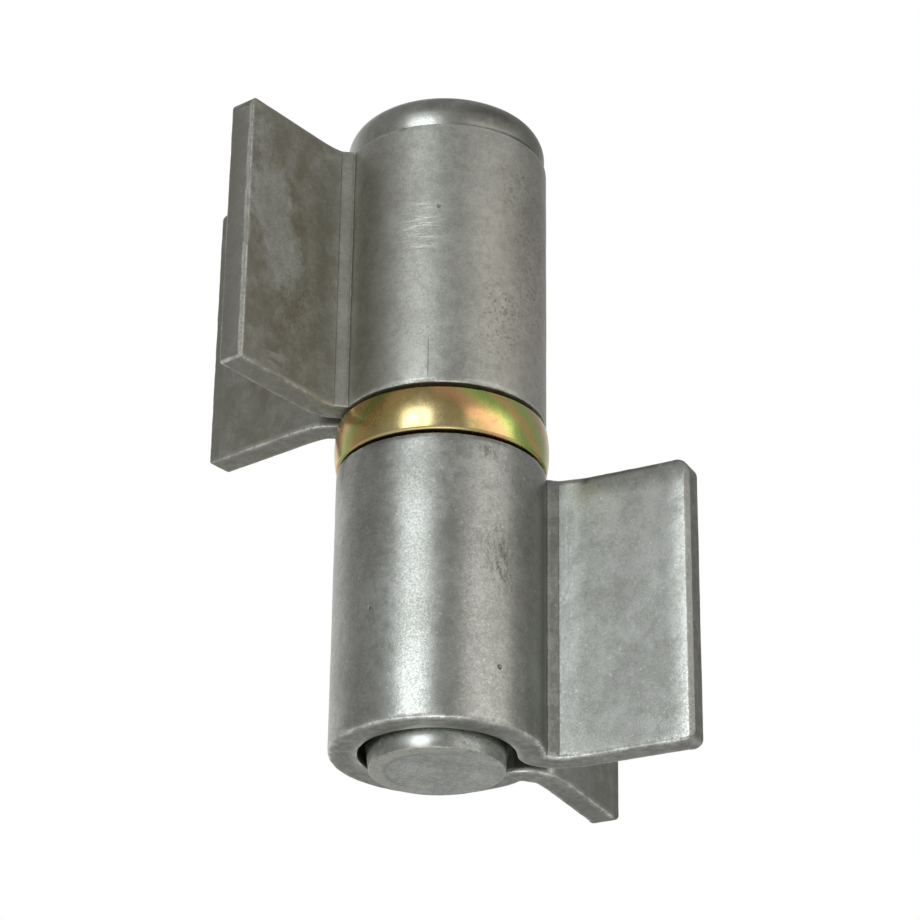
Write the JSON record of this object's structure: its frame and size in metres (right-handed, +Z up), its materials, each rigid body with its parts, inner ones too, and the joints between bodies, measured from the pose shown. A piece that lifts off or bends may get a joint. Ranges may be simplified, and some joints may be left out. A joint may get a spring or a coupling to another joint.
{
  "type": "gate hinge",
  "caption": "Weld-on gate hinge: folded-strip leaves with splayed wings turn on a domed-head pin, over a ball thrust bearing set between the barrels.",
  "frame": {"origin": "on the pin's axis, at the middle of the bearing between the two barrels", "axes": "+Z up along the pin, towards its head; +X along the middle of the lower leaf, out of the mouth between its wings"},
  "size_m": [0.068, 0.0433, 0.1023],
  "materials": {
    "raw_steel": "raw rolled mild steel, oiled and scuffed",
    "pin_steel": "raw turned mild steel",
    "yellow_zinc": "yellow passivated zinc, iridescent",
    "bearing_steel": "ground, greased",
    "ball_steel": "polished"
  },
  "bodies": {
    "post_side": {"lower_leaf": "raw_steel", "bearing_cover": "yellow_zinc", "lower_race": "bearing_steel"},
    "ball_ring": {"bearing_balls": "ball_steel"},
    "bearing_top": {"upper_race": "bearing_steel"},
    "pin": {"hinge_pin": "pin_steel"},
    "gate_side": {"upper_leaf": "raw_steel"}
  },
  "joints": [
    {"name": "gate_lift", "type": "slide", "parent": "post_side", "child": "pin", "axis": [0, 0, 1], "range_m": [0, 0.056]},
    {"name": "gate_swing", "type": "hinge", "parent": "pin", "child": "gate_side", "pos_m": [0, 0, 0], "axis": [0, 0, 1], "continuous": true},
    {"name": "race_turn", "type": "hinge", "parent": "post_side", "child": "bearing_top", "pos_m": [0, 0, 0], "axis": [0, 0, 1], "continuous": true},
    {"name": "ball_roll", "type": "hinge", "parent": "post_side", "child": "ball_ring", "pos_m": [0, 0, 0], "axis": [0, 0, 1], "continuous": true}
  ],
  "couplings": [
    {"joint": "race_turn", "follows": "gate_swing", "ratio": 1},
    {"joint": "ball_roll", "follows": "gate_swing", "ratio": 0.5}
  ]
}
